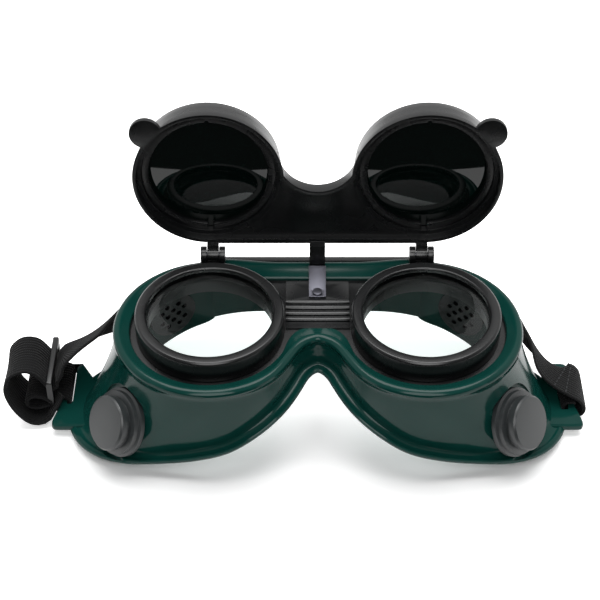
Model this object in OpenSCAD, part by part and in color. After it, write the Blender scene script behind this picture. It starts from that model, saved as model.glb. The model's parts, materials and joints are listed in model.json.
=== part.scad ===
// Welding goggles with a lift-up shade front, lying on their face rim.
// Lengths in mm. X runs across the face, +Y to the forehead, +Z out through the lenses.
// The floor that the face rim lies on is Z = 0 and X = 0 is the plane of symmetry.

/* [Lenses] */
// distance between the two lens axes
lens_pitch = 80.8; // [78:0.2:88]
// diameter of the clear and shade lenses
lens_d = 50; // [48:0.5:51]
// thickness of each clear lens
clear_t = 3; // [2:0.25:3.5]
// thickness of each shade lens
shade_t = 3; // [2:0.25:4]
// free opening of the retaining ring
view_d = 47.4; // [42:0.2:48]

/* [Mask body] */
// height of the retaining ring's top above the floor
front_h = 50; // [42:0.5:60]
// radius of the eye lobes at the front lip
lobe_r = 36.8; // [35.5:0.1:42]
// width of the whole mask over its temple flanges
mask_w = 195; // [175:1:215]
// wall thickness of the soft shell
wall = 2.3; // [1.6:0.1:3]
// thickness of the lip round the front opening
lip_t = 2.5; // [2:0.1:3.5]
// width of the face flange outside the wall
flange_w = 3; // [1.5:0.25:5]
// thickness of the face flange
flange_t = 2; // [1.5:0.1:3]
// radius of the curve that the face rim follows
face_r = 190; // [150:5:260]
// height of the brow rim above the floor at the middle
brow_rise = 17; // [10:0.5:22]
// height of the nose arch above the floor
nose_rise = 28.5; // [24:0.5:31]
// radius of the nose arch
nose_r = 34; // [26:1:40]

/* [Vents] */
// diameter of the vent cap's face
cap_d = 20.5; // [16:0.5:22]
// diameter of the vent's collar against the mask
collar_d = 26; // [23:0.5:27]
// bore of the mask's vent boss
boss_bore = 17; // [14:0.5:18]
// height of a vent above its seat
cap_h = 8.6; // [6:0.2:10]
// height of the lower vents' axis above the floor at the seat
low_vent_z = 17.8; // [16:0.2:20]
// height of the upper vents' axis above the floor
high_vent_z = 22; // [18:0.2:24]
// diameter of the holes in the inner screens
screen_hole = 2.2; // [1.6:0.1:2.6]

/* [Front frame] */
// thickness of the frame's plate
plate_t = 2.5; // [2:0.1:3.5]
// wall of the lens barrels
barrel_wall = 2.3; // [1.8:0.1:3]
// wall of the retaining rings
ring_wall = 1.8; // [1.4:0.1:2.5]
// thickness of the ring's top lip
ring_lip = 2; // [1.5:0.1:3]

/* [Lift front] */
// wall of the lift front
lid_wall = 2; // [1.5:0.1:3]
// distance between the axes of the two lens cups
cup_pitch = 82.6; // [79:0.2:88]
// radius of a cup at its mouth
cup_r = 28.6; // [28.2:0.1:30]
// radius of a cup at its far end
cup_end_r = 27.2; // [27:0.1:30]
// depth of the lens cups
cup_depth = 11.6; // [10.5:0.1:14]
// depth of the tray between the cups
tray_depth = 5; // [4.5:0.1:8]
// diameter of the two finger tabs
tab_d = 12; // [9:0.2:16]
// angle between closed and fully lifted
lift_angle = 95; // [80:1:100]
// diameter of the hinge pins
pin_d = 2; // [1.6:0.1:2.6]
// width of each hinge tongue
tongue_w = 4.4; // [3.5:0.1:5.5]
// thickness of each hinge ear
ear_t = 2.2; // [1.8:0.1:3]

/* [Strap] */
// width of the elastic strap
strap_w = 20; // [16:1:22]
// thickness of the elastic strap
strap_t = 1.4; // [1:0.1:2]

/* [Hidden] */
$fn = 72;
// clearance between parts that move or slip together
gap = 0.3;
// running clearance of pin holes
run = 0.05;
// lens axis offset from the middle
lx = lens_pitch / 2;
// top of the lip and of the frame's plate
lip_z = front_h - 7;
plate_z = lip_z - lip_t;
under_z = plate_z - plate_t;
// barrel and ring radii
bar_out = lens_d / 2 + 1.1;
bar_in = bar_out - barrel_wall;
ring_in = bar_out + 0.1;
ring_out = ring_in + ring_wall;
ring_base = plate_z + gap;
// stack inside the ring, from the top down
lip_under = front_h - ring_lip;
lens_z = lip_under - clear_t;
gasket_t = 1;
gasket_z = lens_z - gasket_t;
// opening of the mask's lip round each barrel, and the plate under it
open_r = ring_out + 2.3;
plate_r = lobe_r - wall - 1;
// front and back edges of the bridge window in the lip
win_lo = -0.5;
win_hi = 27.5;
// brow and nose sides of the middle of the mask
brow_y = lobe_r - 0.5;
nose_y = -6.6;
// temple wing
wing_r = 22.5;
wing_x = mask_w / 2 - flange_w - wing_r;
wing_y = -9.5;
// hinge axis
hy = 33.3;
hz = front_h - 1.25;
ear_r = 3.3;
ear_in = tongue_w / 2 + gap;
ear_out = ear_in + ear_t;
post_y0 = ring_out + 0.9;
post_y1 = hy + ear_r + 0.6;
post_z = lip_z + 1.5;
// lift front, in its closed position
mouth_z = front_h + gap;
cx = cup_pitch / 2;
edge_y = hy - 4.3;
cup_in = cup_end_r - lid_wall + 0.2;
seat_z = mouth_z + cup_depth - lid_wall;
shade_z = seat_z - shade_t;
clip_t = 2.2;
clip_z = shade_z - clip_t;
clip_out = cup_in - run;
clip_in = 22.7;
// valley between the cups: a circle that runs into both just inside their rims
valley_y = 5;
valley_in = cup_r - 1;
valley_r = (cx * cx + valley_y * valley_y - valley_in * valley_in) / (2 * (valley_in + valley_y));
// cam arm on the lift front and the leaf spring that holds it
arm_w = 6;
arm_len = 4.8;
leaf_w = 6.6;
leaf_t = 0.6;
leaf_y0 = 17;
leaf_y1 = 21.5;
leaf_z = plate_z + 1.2;
leaf_top_y = hy - 1.8 - 0.09 * arm_len - gap;
leaf_top_z = hz - 3.4;
// strap lug on each temple
lug_x = mask_w / 2 + 2.5;
lug_bar = 2.7;
lug_slot = 3.2;
lug_z0 = 2.6;
lug_t = 3;
strap_y = 5.5;
// slide buckle
buckle_x = lug_x + 2.8;
buckle_t = 2.4;
buckle_z = lug_z0 - 0.4;
buckle_bar = 2.5;
buckle_slot = 4.7;
buckle_w = strap_w + 6;
// body names

green = [0.03, 0.22, 0.18];
black = [0.12, 0.13, 0.14];

// ---- mask shell: each level's outline wraps three discs, and the levels are skinned

// discs [x, y, r] at a share t of the way from the lip down to the floor
function flare(t) = pow(t, 1.9);
function discs(t) = [
  [lx, -0.5 - 1.5 * t, lobe_r - 3.8 * t],
  [lx, -0.5 + 5.5 * t, lobe_r - 2.8 * t],
  [lx + (wing_x - lx) * flare(t), -0.5 + (wing_y + 0.5) * flare(t),
   lobe_r + (wing_r - lobe_r) * flare(t)]];
function reach(d, a) = d[0] * cos(a) + d[1] * sin(a) + d[2];
function best(ds, a) = reach(ds[0], a) >= max(reach(ds[1], a), reach(ds[2], a)) ? ds[0]
  : reach(ds[1], a) >= reach(ds[2], a) ? ds[1] : ds[2];
function edge(ds, a, g) = let (d = best(ds, a)) [d[0] + (d[2] + g) * cos(a), d[1] + (d[2] + g) * sin(a)];

// one lobe, from height z0 up to z1, with its wall moved out by g
module lobe(z0, z1, g) {
  n = 60;
  m = 7;
  zs = [for (k = [0:m]) z0 + (z1 - z0) * k / m];
  rings = [for (z = zs) [for (i = [0:n - 1]) let (
    t = max(0, min(1, (lip_z - z) / lip_z)),
    p = edge(discs(t), 360 * (i + 0.5) / n, g)) [p[0], p[1], z]]];
  pts = [for (r = rings) for (p = r) p];
  sides = [for (k = [0:m - 1]) for (i = [0:n - 1]) let (
    a = k * n + i, b = k * n + (i + 1) % n) each [[a, a + n, b], [b, a + n, b + n]]];
  polyhedron(points = pts, faces = concat(
    [[for (i = [0:n - 1]) i]], sides, [[for (i = [n - 1:-1:0]) m * n + i]]));
}

module both() {
  children();
  mirror([1, 0, 0]) children();
}

// prism along X with its section given in Y and Z
module across(w, section) {
  rotate([90, 0, 90]) translate([0, 0, -w / 2]) linear_extrude(w) polygon(section);
}

// everything above the face curve and the nose arch
module above_face() {
  difference() {
    translate([-mask_w, -80, 0]) cube([2 * mask_w, 160, lip_z]);
    translate([0, 90, brow_rise - face_r]) rotate([90, 0, 0]) cylinder(r = face_r, h = 180, $fn = 180);
    translate([0, 6, nose_rise - nose_r]) rotate([90, 0, 0]) cylinder(r = nose_r, h = 70);
  }
}

// vent frames: the seat plane's middle with +Z outward
low_n = [0.72, -0.51, 0.467];
low_x = 72.8;
low_y = -26.2;
high_az = 57;

module at_low() {
  translate([low_x, low_y, low_vent_z]) rotate([0, 0, atan2(low_n[1], low_n[0])])
    rotate([0, 90 - asin(low_n[2]), 0]) children();
}

module at_high() {
  translate([lx + 19.1, 31.6, min(high_vent_z, under_z - 12)]) rotate([0, 0, high_az])
    rotate([0, 90, 0]) children();
}

module mask_solid() {
  both() lobe(0, lip_z, 0);
  across(2 * lx, [[nose_y + 2, 0], [brow_y + 2.7, 0], [brow_y, lip_z], [nose_y, lip_z]]);
}

module mask_hollow() {
  both() lobe(-1, plate_z, -wall);
  across(2 * lx, [[nose_y + 2 + wall, -1], [brow_y + 2.7 - wall, -1],
    [brow_y - wall + 0.2, plate_z], [nose_y + wall, plate_z]]);
}

module flange_band() {
  difference() {
    intersection() {
      union() {
        both() lobe(0, lip_z, flange_w);
        across(2 * lx, [[nose_y + 2 - flange_w, 0], [brow_y + 2.7 + flange_w, 0],
          [brow_y + flange_w, lip_z], [nose_y - flange_w, lip_z]]);
      }
      union() {
        difference() {
          translate([0, 90, brow_rise - face_r + flange_t]) rotate([90, 0, 0])
            cylinder(r = face_r, h = 180, $fn = 180);
          translate([0, 90, brow_rise - face_r]) rotate([90, 0, 0])
            cylinder(r = face_r, h = 180, $fn = 180);
          translate([0, 0, -100]) cube([400, 400, 200], center = true);
          translate([0, 6, nose_rise - nose_r]) rotate([90, 0, 0]) cylinder(r = nose_r, h = 70);
        }
        difference() {
          translate([0, 5, nose_rise - nose_r]) rotate([90, 0, 0])
            cylinder(r = nose_r + flange_t, h = 60);
          translate([0, 6, nose_rise - nose_r]) rotate([90, 0, 0]) cylinder(r = nose_r, h = 70);
          translate([0, -20, brow_rise - face_r]) rotate([90, 0, 0])
            cylinder(r = face_r, h = 100, center = true, $fn = 180);
        }
        both() translate([sqrt(face_r * face_r - pow(face_r - brow_rise, 2)) - 2, -60, 0])
          cube([60, 120, flange_t]);
      }
    }
    mask_hollow();
  }
}

module mask_body() {
  color(green) difference() {
    union() {
      intersection() {
        difference() {
          mask_solid();
          mask_hollow();
        }
        above_face();
      }
      flange_band();
      both() {
        at_low() translate([0, 0, -3.4]) cylinder(d = collar_d + 5, h = 3.4);
        at_high() translate([0, 0, -2.8]) cylinder(d = collar_d + 2, h = 2.8);
        translate([wing_x + 12, -17, lug_z0]) cube([lug_x - wing_x - 12, strap_y + 28.5, lug_t]);
      }
    }
    both() {
      at_low() cylinder(d = collar_d + 3, h = 20);
      at_low() translate([0, 0, -10]) cylinder(d = boss_bore, h = 20);
      at_low() translate([0, 0, -13.4]) cylinder(d = boss_bore + 4, h = 10);
      at_high() cylinder(d = collar_d + 1, h = 20);
      at_high() translate([0, 0, -10]) cylinder(d = boss_bore, h = 20);
      at_high() translate([0, 0, -13.4]) cylinder(d = boss_bore + 4, h = 10);
      translate([lug_x - lug_bar - lug_slot, strap_y - strap_w / 2 - 0.5, 0]) cube([lug_slot, strap_w + 1, 9]);
      translate([lx, 0, under_z]) cylinder(r = open_r, h = 9);
      translate([lx - ear_out - gap, post_y0 - 1, plate_z - 0.1]) cube([2 * (ear_out + gap), 12, 9]);
    }
    translate([-lx, win_lo, plate_z - 1]) cube([2 * lx, win_hi - win_lo, 9]);
  }
}

module front_frame() {
  bridge = lx - ring_out - gap;
  color(black) difference() {
    union() {
      both() {
        translate([lx, 0, under_z]) cylinder(r = plate_r, h = plate_t);
        translate([lx, 0, under_z]) cylinder(r = bar_out, h = gasket_z - under_z);
        translate([lx - ear_out, post_y0, under_z]) cube([2 * ear_out, brow_y - wall - 0.3 - post_y0, plate_t + 0.1]);
        translate([lx - ear_out, post_y0, plate_z]) cube([2 * ear_out, post_y1 - post_y0, post_z - plate_z]);
        for (s = [-1, 1]) translate([lx + s * (ear_in + ear_t / 2), 0, 0]) {
          translate([-ear_t / 2, hy, hz]) rotate([0, 90, 0]) cylinder(r = ear_r, h = ear_t);
          translate([-ear_t / 2, hy - ear_r, post_z - 1]) cube([ear_t, 2 * ear_r, hz - post_z + 1]);
        }
      }
      translate([-lx, nose_y + wall + 1, under_z]) cube([2 * lx, brow_y - nose_y - 2 * wall - 2.6, plate_t]);
      translate([-bridge, win_lo + 0.5, plate_z - 0.5]) cube([2 * bridge, win_hi - win_lo - 1.5, 1.1]);
      for (y = [4.6, 7.8, 11, 14.2]) translate([-bridge, y, plate_z + 0.6]) rotate([0, 90, 0]) cylinder(r = 1.15, h = 2 * bridge, $fn = 32);
      translate([-lx, brow_y + gap, lip_z - 3.2]) cube([2 * lx, 2.2, 3]);
    }
    both() {
      translate([lx, 0, under_z - 1]) cylinder(r = bar_in, h = 20);
      translate([lx - ear_out - 1, hy, hz]) rotate([0, 90, 0]) cylinder(d = pin_d, h = 2 * ear_out + 2, $fn = 48);
    }
    translate([0, (leaf_y0 + leaf_y1) / 2, plate_z - 1]) cylinder(r = 1, h = 5, $fn = 48);
  }
}

module clear_lens() {
  color([0.85, 0.9, 0.92, 0.5]) translate([lx, 0, lens_z]) cylinder(d = lens_d, h = clear_t);
}

module lens_gasket() {
  color(black) translate([lx, 0, gasket_z]) rotate_extrude() translate([lens_d / 2 - 1.9, 0]) square([1.9, gasket_t]);
}

module lens_ring() {
  color(black) translate([lx, 0, 0]) rotate_extrude() polygon([
    [ring_in, ring_base], [ring_out, ring_base], [ring_out, front_h - 0.8], [ring_out - 0.8, front_h],
    [view_d / 2 + 0.5, front_h], [view_d / 2, front_h - 0.5], [view_d / 2, lip_under], [ring_in, lip_under]]);
}

// revolved cap: stem in the boss, collar, vent groove and domed-edge head
module vent_cap() {
  color(black) rotate_extrude() polygon([
    [boss_bore / 2 - 1.6, -3.4], [boss_bore / 2 - 0.1, -3.4], [boss_bore / 2 - 0.1, 0], [collar_d / 2, 0],
    [collar_d / 2, 1.8], [collar_d / 2 - 1, 2.2], [collar_d / 2 - 1, cap_h - 4.6], [cap_d / 2 - 0.6, cap_h - 4.2],
    [cap_d / 2 - 0.6, cap_h - 3.4], [cap_d / 2, cap_h - 3.2], [cap_d / 2, cap_h - 0.7],
    [cap_d / 2 - 0.7, cap_h], [0, cap_h], [0, cap_h - 2], [boss_bore / 2 - 1.6, cap_h - 3.6]]);
}

// perforated disc behind the cap: five rows of two and three holes
module vent_screen() {
  p = 2.5;
  color(black) difference() {
    translate([0, 0, -4.9]) cylinder(d = boss_bore + 2.8, h = 1.5);
    for (r = [-2:2]) for (c = (r % 2 == 0) ? [-1, 1] : [-2, 0, 2])
      translate([r * p, c * p, -7]) cylinder(d = screen_hole, h = 4, $fn = 32);
  }
}

module hinge_pin() {
  color([0.3, 0.3, 0.32]) translate([lx - ear_out, hy, hz]) rotate([0, 90, 0]) cylinder(d = pin_d, h = 2 * ear_out, $fn = 48);
}

module detent_spring() {
  color([0.6, 0.6, 0.62]) difference() {
    across(leaf_w, [[leaf_y0, leaf_z - leaf_t], [leaf_y1, leaf_z - leaf_t], [leaf_top_y, leaf_top_z - leaf_t],
      [leaf_top_y, leaf_top_z], [leaf_top_y - 0.2, leaf_top_z], [leaf_y1, leaf_z], [leaf_y0, leaf_z]]);
    translate([0, (leaf_y0 + leaf_y1) / 2, leaf_z - 3]) cylinder(r = 1, h = 6, $fn = 48);
  }
}

module spring_rivet() {
  y = (leaf_y0 + leaf_y1) / 2;
  color([0.5, 0.5, 0.52]) union() {
    translate([0, y, plate_z - 0.8]) cylinder(r = 1, h = leaf_z - plate_z + 1, $fn = 48);
    translate([0, y, leaf_z]) cylinder(r = 1.9, h = 0.7, $fn = 48);
  }
}

// outline of the tray between the cups, pulled in by t
module tray_outline(t) {
  difference() {
    translate([-cx, valley_y - valley_r]) square([2 * cx, edge_y - t - valley_y + valley_r]);
    translate([0, valley_y - valley_r]) circle(r = valley_r + t);
  }
}

module lift_frame_closed() {
  difference() {
    union() {
      both() {
        translate([cx, 0, mouth_z]) cylinder(r1 = cup_r, r2 = cup_end_r, h = cup_depth);
        translate([cx, 0, mouth_z]) rotate([0, 0, -42]) translate([cup_r + 1.8, 0, 0]) cylinder(d = tab_d, h = 2);
        translate([cx - 11, edge_y - 4, mouth_z]) cube([11, 4, tray_depth]);
        translate([lx - tongue_w / 2, hy, hz]) rotate([0, 90, 0]) cylinder(r = 2.7, h = tongue_w);
        translate([lx - tongue_w / 2, edge_y - 2, mouth_z + 0.2]) cube([tongue_w, hy - edge_y + 2, hz + 3.8 - mouth_z]);
        translate([lx - tongue_w / 2, edge_y - 0.2, hz]) cube([tongue_w, hy - edge_y + 0.2, 4]);
        translate([lx - tongue_w / 2, hy - 0.1, hz]) cube([tongue_w, hz - post_z - gap + 0.1, 2.7]);
      }
      translate([0, 0, mouth_z]) linear_extrude(tray_depth) tray_outline(0);
      translate([-arm_w / 2, edge_y - 1, hz - 1.8]) cube([arm_w, hy - edge_y + 1, 5]);
      translate([-arm_w / 2, hy - 0.1, hz - 1.8]) cube([arm_w, arm_len + 0.1, 3]);
    }
    translate([0, 0, mouth_z - 1]) linear_extrude(tray_depth - lid_wall + 1) tray_outline(lid_wall);
    both() {
      translate([cx, 0, mouth_z - 1]) cylinder(r = cup_r - lid_wall + 0.6, h = clip_z - mouth_z + 0.2);
      translate([cx, 0, mouth_z]) cylinder(r = cup_in, h = seat_z - mouth_z);
      translate([cx, 0, seat_z - 1]) cylinder(r = view_d / 2 - 1.2, h = 5);
      translate([lx - tongue_w, hy, hz]) rotate([0, 90, 0]) cylinder(r = pin_d / 2 + run, h = 2 * tongue_w, $fn = 48);
    }
  }
}

// turns the lift front from closed to fully lifted
module lifted() {
  translate([0, hy, hz]) rotate([-lift_angle, 0, 0]) translate([0, -hy, -hz]) children();
}

module lift_frame() {
  color(black) lifted() lift_frame_closed();
}

module shade_lens() {
  color([0.05, 0.12, 0.1]) lifted() translate([cx, 0, shade_z]) cylinder(d = lens_d, h = shade_t);
}

module shade_clip() {
  color(black) lifted() translate([cx, 0, 0]) difference() {
    translate([0, 0, clip_z]) cylinder(r = clip_out, h = clip_t);
    translate([0, 0, clip_z - 1]) cylinder(r = clip_in, h = clip_t + 2);
    translate([-1, 15, clip_z - 1]) cube([2, 15, clip_t + 2]);
    translate([0, -clip_in, clip_z - 1]) cylinder(r = 0.9, h = clip_t + 2, $fn = 32);
  }
}

// ---- strap: a flat band swept along round points, [x, y, z] then the width's direction
route = [
  [[-106.8, 0, 4], [0, 1, 0]],
  [[-110, 0, 2.4], [0, 1, 0]],
  [[-114, -0.5, 6], [0, 1, 0]],
  [[-118, -0.5, 14], [0, 1, 0]],
  [[-117, 0, 21], [0, 1, 0]],
  [[-112, 1, 24.6], [0, 1, 0]],
  [[-107, 2.5, 24.2], [0, 1, 0]],
  [[-102, 4.2, 24.3], [0, 1, 0.05]],
  [[-96, 7.6, 23.8], [0, 0.94, -0.3]],
  [[-91, 14, 20.8], [0, 0.86, -0.51]],
  [[-86.5, 22, 18.3], [0, 0.78, -0.62]],
  [[-81, 31, 16.5], [0, 0.62, -0.78]],
  [[-76, 39.5, 13], [0, 0.45, -0.9]],
  [[-70.5, 48, 10.8], [0, 0.2, -0.98]],
  [[-62, 54, 10.8], [0, 0.1, -1]],
  [[-45, 58, 10.8], [0, 0, -1]],
  [[-20, 59.5, 10.8], [0, 0, -1]],
  [[20, 59.5, 10.8], [0, 0, -1]],
  [[45, 58, 10.8], [0, 0, -1]],
  [[62, 54, 10.8], [0, 0.1, -1]],
  [[70.5, 47.5, 10.8], [0, 0.2, -0.98]],
  [[76, 40, 11.5], [0, 0.45, -0.9]],
  [[80.5, 32, 12.5], [0, 0.6, -0.8]],
  [[85, 22.5, 13.2], [0, 0.75, -0.66]],
  [[90, 13.5, 12.6], [0, 0.88, -0.4]],
  [[95, 7.2, 12], [0, 1, 0.1]],
  [[98.5, 6, 10.2], [0, 1, 0.1]],
  [[101.6, 5.7, 8.8], [0, 1, 0.05]]];

function unit(v) = v / norm(v);
// point at share f of the span after point i, on a smooth curve through the route
// route point or width direction, the sides moved out with the lugs
function stretch(x) = sign(x) * min(1, abs(x) / 70) * (lug_x - 100);
function knot(i, k) = let (p = route[max(0, min(len(route) - 1, i))])
  k == 1 ? p[1] : [p[0][0] + stretch(p[0][0]), p[0][1], p[0][2]];
function smooth(i, f, k) = 0.5 * (2 * knot(i, k) + (knot(i + 1, k) - knot(i - 1, k)) * f
  + (2 * knot(i - 1, k) - 5 * knot(i, k) + 4 * knot(i + 1, k) - knot(i + 2, k)) * f * f
  + (3 * knot(i, k) - knot(i - 1, k) - 3 * knot(i + 1, k) + knot(i + 2, k)) * f * f * f);

module band_sweep() {
  spans = len(route) - 1;
  fs = [for (i = [0:spans - 1]) each [i, i + 1 / 3, i + 2 / 3]];
  ss = concat(fs, [spans]);
  mid = [for (s = ss) let (i = min(floor(s), spans - 1)) smooth(i, s - i, 0)];
  dir = [for (s = ss) let (i = min(floor(s), spans - 1)) smooth(i, s - i, 1)];
  n = len(mid);
  rings = [for (j = [0:n - 1]) let (
    t = unit(mid[min(n - 1, j + 1)] - mid[max(0, j - 1)]),
    w0 = dir[j] - (dir[j] * t) * t,
    w = unit(w0) * strap_w / 2,
    h = cross(t, unit(w0)) * strap_t / 2)
    [mid[j] - w - h, mid[j] + w - h, mid[j] + w + h, mid[j] - w + h]];
  pts = [for (r = rings) for (p = r) p];
  sides = [for (j = [0:n - 2]) for (i = [0:3]) let (
    a = 4 * j + i, b = 4 * j + (i + 1) % 4) each [[a, b, a + 4], [b, b + 4, a + 4]]];
  polyhedron(points = pts, faces = concat([[3, 2, 1, 0]], sides,
    [[4 * n - 4, 4 * n - 3, 4 * n - 2, 4 * n - 1]]));
}

module strap() {
  color([0.13, 0.13, 0.14]) band_sweep();
}

// flattened ring of strap, from x0 to x1 and z0 to z1, seen along Y
module strap_ring(x0, x1, z0, z1) {
  color([0.15, 0.15, 0.16]) translate([0, strap_y + strap_w / 2, 0]) rotate([90, 0, 0])
    linear_extrude(strap_w) difference() {
      translate([x0, z0]) square([x1 - x0, z1 - z0]);
      translate([x0 + strap_t, z0 + strap_t]) square([x1 - x0 - 2 * strap_t, z1 - z0 - 2 * strap_t]);
    }
}

module strap_link_left() {
  strap_ring(-(buckle_x + buckle_t / 2 + gap + strap_t), -(lug_x - lug_bar - gap - strap_t),
    lug_z0 - gap - strap_t - 0.4, lug_z0 + lug_t + gap + strap_t);
}

module strap_end_right() {
  strap_ring(lug_x - lug_bar - gap - strap_t, lug_x + gap + strap_t,
    lug_z0 - gap - strap_t, lug_z0 + lug_t + gap + strap_t);
}

module slide_buckle() {
  h = 3 * buckle_bar + 2 * buckle_slot;
  color([0.1, 0.1, 0.11]) translate([-buckle_x, strap_y, buckle_z]) difference() {
    translate([-buckle_t / 2, -buckle_w / 2, 0]) cube([buckle_t, buckle_w, h]);
    for (k = [0, 1]) translate([-5, -(strap_w + 1) / 2, buckle_bar + k * (buckle_bar + buckle_slot)])
      cube([10, strap_w + 1, buckle_slot]);
  }
}

mask_body();
front_frame();
mirror([1, 0, 0]) clear_lens();  // clear_lens_left
clear_lens();  // clear_lens_right
mirror([1, 0, 0]) lens_gasket();  // lens_gasket_left
lens_gasket();  // lens_gasket_right
mirror([1, 0, 0]) lens_ring();  // lens_ring_left
lens_ring();  // lens_ring_right
mirror([1, 0, 0]) at_low() vent_cap();  // vent_cap_lower_left
at_low() vent_cap();  // vent_cap_lower_right
mirror([1, 0, 0]) at_high() vent_cap();  // vent_cap_upper_left
at_high() vent_cap();  // vent_cap_upper_right
mirror([1, 0, 0]) at_low() vent_screen();  // vent_screen_lower_left
at_low() vent_screen();  // vent_screen_lower_right
mirror([1, 0, 0]) at_high() vent_screen();  // vent_screen_upper_left
at_high() vent_screen();  // vent_screen_upper_right
mirror([1, 0, 0]) hinge_pin();  // hinge_pin_left
hinge_pin();  // hinge_pin_right
detent_spring();
spring_rivet();
lift_frame();
mirror([1, 0, 0]) shade_lens();  // shade_lens_left
shade_lens();  // shade_lens_right
mirror([1, 0, 0]) shade_clip();  // shade_clip_left
shade_clip();  // shade_clip_right
strap();
strap_link_left();
strap_end_right();
slide_buckle();
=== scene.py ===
"""Looks for a pair of lift-front welding goggles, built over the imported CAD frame."""

import json  # noqa: E402
import logging  # noqa: E402
import math  # noqa: E402
from dataclasses import dataclass, field  # noqa: E402
from enum import Enum  # noqa: E402
from itertools import product  # noqa: E402

import bmesh  # noqa: E402
import bpy  # noqa: E402
import numpy as np  # noqa: E402
from mathutils import Matrix, Vector  # noqa: E402

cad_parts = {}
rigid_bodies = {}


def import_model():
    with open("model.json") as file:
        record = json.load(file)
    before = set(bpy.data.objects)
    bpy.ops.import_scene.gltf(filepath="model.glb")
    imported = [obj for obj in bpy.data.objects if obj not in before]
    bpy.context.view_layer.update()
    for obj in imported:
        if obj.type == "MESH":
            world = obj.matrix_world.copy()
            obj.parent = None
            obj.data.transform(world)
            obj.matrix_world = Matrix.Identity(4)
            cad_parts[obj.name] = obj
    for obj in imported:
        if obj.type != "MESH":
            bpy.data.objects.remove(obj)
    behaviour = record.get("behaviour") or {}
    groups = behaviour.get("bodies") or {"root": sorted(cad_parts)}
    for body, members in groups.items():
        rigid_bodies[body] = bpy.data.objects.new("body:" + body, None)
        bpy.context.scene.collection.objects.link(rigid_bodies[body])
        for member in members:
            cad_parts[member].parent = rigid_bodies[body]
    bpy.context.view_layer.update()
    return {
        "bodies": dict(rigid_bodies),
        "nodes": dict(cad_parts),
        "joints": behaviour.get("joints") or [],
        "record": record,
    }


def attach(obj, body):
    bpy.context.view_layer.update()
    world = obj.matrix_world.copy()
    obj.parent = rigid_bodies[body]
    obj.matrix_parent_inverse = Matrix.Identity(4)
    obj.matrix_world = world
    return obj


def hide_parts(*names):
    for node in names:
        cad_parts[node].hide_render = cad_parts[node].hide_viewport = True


log = logging.getLogger("goggles")
MM = 0.001


class Side(Enum):
    """The two sides of the mask, with the sign of X."""

    LEFT = -1
    RIGHT = 1

    @property
    def word(self) -> str:
        """Name as used in the CAD nodes."""
        return self.name.lower()


def linear(hex_colour: str) -> tuple[float, float, float, float]:
    """Turns an sRGB hex colour into linear RGBA.

    Args:
        hex_colour: Colour such as "#0B3D33".

    Returns:
        Linear red, green, blue and alpha.
    """
    out = []
    for k in (1, 3, 5):
        c = int(hex_colour[k:k + 2], 16) / 255
        out.append(c / 12.92 if c <= 0.04045 else ((c + 0.055) / 1.055) ** 2.4)
    return (out[0], out[1], out[2], 1.0)


def add_node(tree: bpy.types.NodeTree, kind: str, settings: dict | None = None,
             links: dict | None = None) -> bpy.types.Node:
    """Adds a node, with its settings and its incoming links.

    Args:
        tree: Node tree that takes the node.
        kind: The node's type name.
        settings: Attribute names, or "in:SOCKET" for input values.
        links: Input socket name or index to the output socket that feeds it.

    Returns:
        The new node.
    """
    node = tree.nodes.new(kind)
    for key, value in (settings or {}).items():
        if key.startswith("in:"):
            name = key[3:]
            node.inputs[int(name) if name.isdigit() else name].default_value = value
        else:
            setattr(node, key, value)
    for key, source in (links or {}).items():
        tree.links.new(source, node.inputs[key])
    return node


@dataclass(frozen=True)
class Finish:
    """A moulded or metal surface: base colour, gloss, and fine relief in real millimetres."""

    name: str
    colour: str
    rough: float
    rough_span: float = 0.05
    metallic: float = 0.0
    specular: float = 0.5
    coat: float = 0.0
    grain_mm: float = 0.8
    relief_mm: float = 0.01
    wave_mm: float = 14.0
    tint: float = 0.06

    def build(self) -> bpy.types.Material:
        """Makes the material.

        Returns:
            The named procedural material.
        """
        mat = bpy.data.materials.new(self.name)
        mat.use_nodes = True
        tree = mat.node_tree
        tree.nodes.clear()
        place = add_node(tree, "ShaderNodeTexCoord")
        grain = add_node(tree, "ShaderNodeTexNoise",
                         {"in:Scale": 1 / (self.grain_mm * MM), "in:Detail": 3.0},
                         {"Vector": place.outputs["Object"]})
        wave = add_node(tree, "ShaderNodeTexNoise",
                        {"in:Scale": 1 / (self.wave_mm * MM), "in:Detail": 2.0},
                        {"Vector": place.outputs["Object"]})
        rough = add_node(tree, "ShaderNodeMapRange",
                         {"in:From Min": 0.3, "in:From Max": 0.7,
                          "in:To Min": self.rough - self.rough_span,
                          "in:To Max": self.rough + self.rough_span},
                         {"Value": wave.outputs["Fac"]})
        tone = add_node(tree, "ShaderNodeMix",
                        {"data_type": "RGBA", "blend_type": "MIX",
                         "in:6": linear(self.colour),
                         "in:7": tuple(min(1.0, c * (1 + 3 * self.tint) + 0.002)
                                       for c in linear(self.colour)[:3]) + (1.0,)},
                        {0: wave.outputs["Fac"]})
        bump = add_node(tree, "ShaderNodeBump",
                        {"in:Distance": self.relief_mm * MM, "in:Strength": 0.6},
                        {"Height": grain.outputs["Fac"]})
        shader = add_node(tree, "ShaderNodeBsdfPrincipled",
                          {"in:Metallic": self.metallic,
                           "in:Specular IOR Level": self.specular,
                           "in:Coat Weight": self.coat, "in:Coat Roughness": 0.08},
                          {"Base Color": tone.outputs[2], "Roughness": rough.outputs["Result"],
                           "Normal": bump.outputs["Normal"]})
        add_node(tree, "ShaderNodeOutputMaterial", {}, {"Surface": shader.outputs["BSDF"]})
        return mat


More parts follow.
